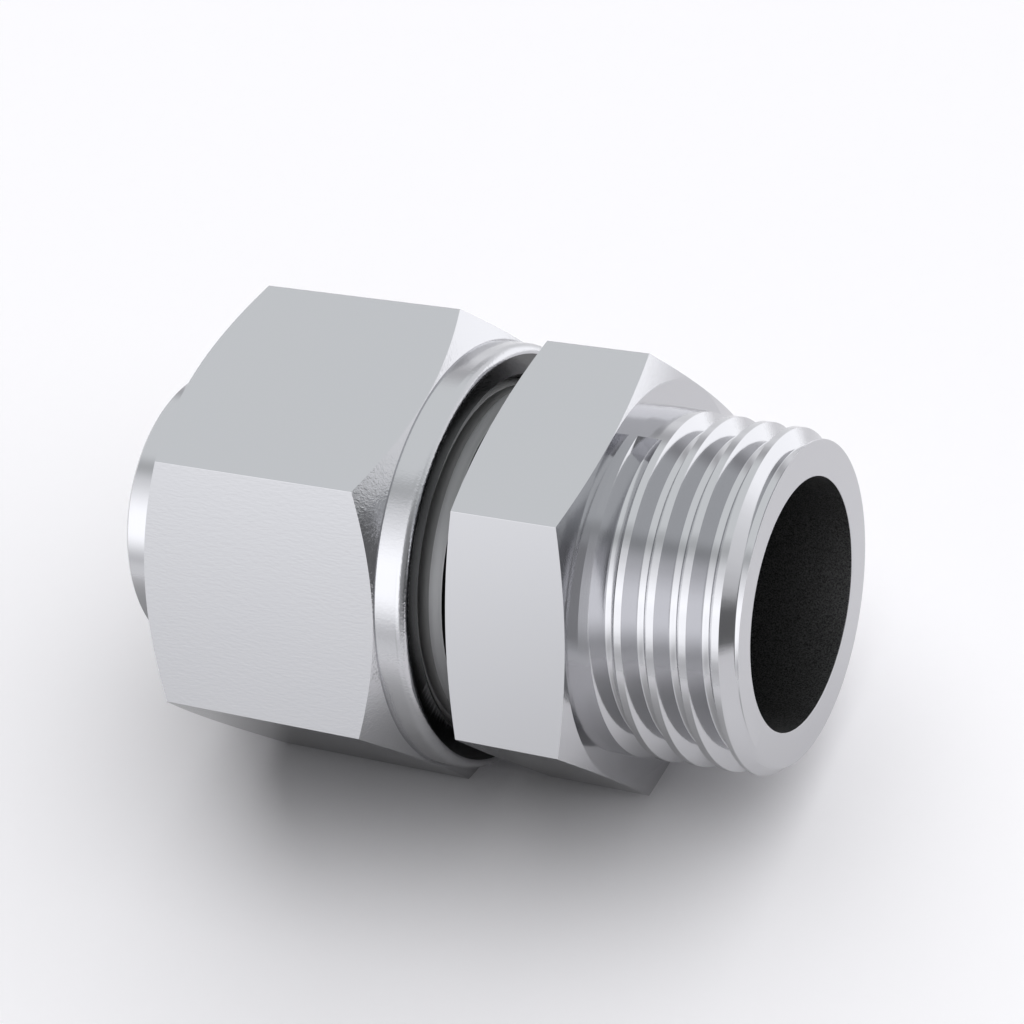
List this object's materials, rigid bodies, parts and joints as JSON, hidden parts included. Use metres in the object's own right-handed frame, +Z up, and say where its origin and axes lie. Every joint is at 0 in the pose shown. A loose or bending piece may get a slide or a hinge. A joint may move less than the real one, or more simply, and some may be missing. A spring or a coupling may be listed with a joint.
{
  "type": "male tube adapter",
  "caption": "Straight hydraulic tube adapter: hexagon body with a male taper thread, and a union nut that clamps a cone-ended tube nipple with a seal ring.",
  "frame": {"origin": "on the ground, under the middle of the fitting's length", "axes": "+X along the fitting's axis towards the threaded stud, +Z up from the nut flat that it lies on, +Y across"},
  "size_m": [0.0942, 0.0692, 0.06],
  "materials": {
    "turned_steel": "fine turned and polished steel",
    "plated_steel": "bright plated steel with a faint grain",
    "nipple_steel": "bright turned steel",
    "nitrile_rubber": "matt black rubber"
  },
  "bodies": {
    "body": {"adapter_body": "turned_steel"},
    "nipple": {"tube_nipple": "nipple_steel", "seal_ring": "nitrile_rubber"},
    "nut": {"union_nut": "plated_steel"}
  },
  "joints": [
    {"name": "nipple_slide", "type": "slide", "parent": "body", "child": "nipple", "axis": [-1, 0, 0], "range_m": [0, 0.0201]},
    {"name": "nut_turn", "type": "hinge", "parent": "nipple", "child": "nut", "pos_m": [-0.0169, 0, 0.03], "axis": [-1, 0, 0], "range_deg": [0, 3600]}
  ],
  "couplings": [
    {"joint": "nipple_slide", "follows": "nut_turn", "m_per_rad": 0.00031831}
  ]
}
